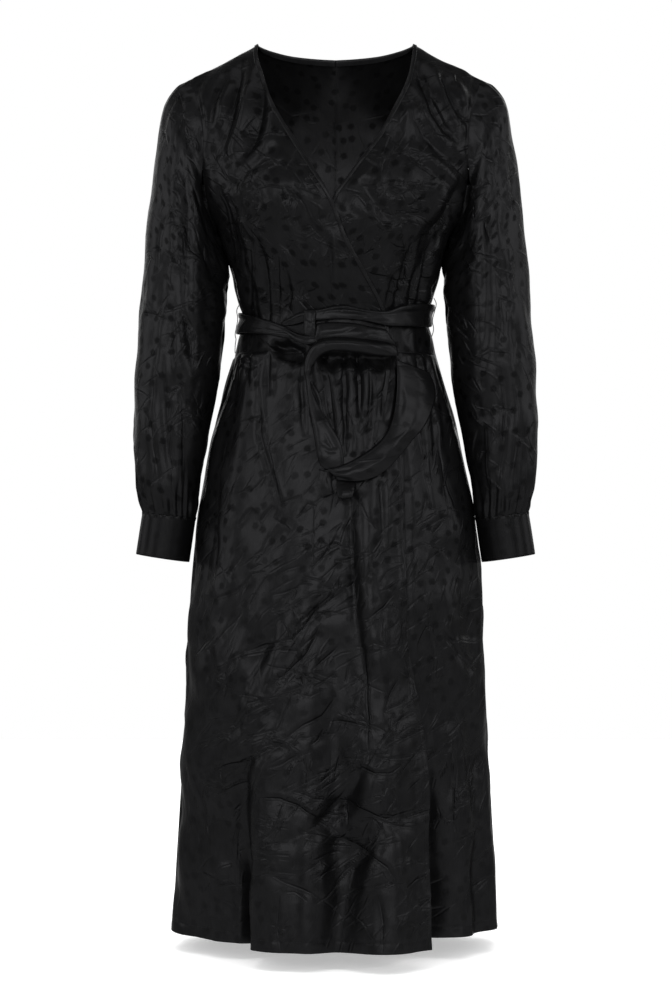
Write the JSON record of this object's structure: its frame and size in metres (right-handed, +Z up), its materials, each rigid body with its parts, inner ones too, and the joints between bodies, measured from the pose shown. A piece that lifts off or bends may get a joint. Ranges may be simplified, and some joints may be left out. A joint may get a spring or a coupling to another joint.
{
  "type": "a-line wrap dress",
  "caption": "Long-sleeved midi wrap dress, worn hollow: crossed V neck, gathered cuffed sleeves, tied waist belt with a drooping loop, flared wrap skirt.",
  "frame": {"origin": "midway between the two neck points, where the shoulder seams meet the neck and the wearer's shoulders carry the dress", "axes": "+X towards the wearer's left, -Y the front, +Z up along the wearer"},
  "size_m": [0.5316, 0.3766, 1.1669],
  "materials": {
    "dotted_satin": "black jacquard satin with matt dots",
    "cuff_satin": "black jacquard satin, doubled and pressed",
    "edge_satin": "black satin, folded and stitched edge",
    "belt_satin": "black jacquard satin, doubled, crushed by tying",
    "thread": "black sewing thread"
  },
  "bodies": {
    "root": {"front_right": "dotted_satin", "front_left": "dotted_satin", "back_right": "dotted_satin", "back_left": "dotted_satin", "skirt_front_right": "dotted_satin", "skirt_front_left": "dotted_satin", "skirt_back": "dotted_satin", "sleeve_right": "dotted_satin", "sleeve_left": "dotted_satin", "cuff_right": "cuff_satin", "cuff_left": "cuff_satin", "neck_binding_right": "edge_satin", "neck_binding_left": "edge_satin", "neck_binding_back": "edge_satin", "belt_band": "belt_satin", "belt_knot": "belt_satin", "belt_drape": "belt_satin", "belt_loop": "belt_satin", "belt_tail_long": "belt_satin", "belt_tail_short": "belt_satin", "carrier_right": "thread", "carrier_left": "thread"}
  },
  "joints": []
}
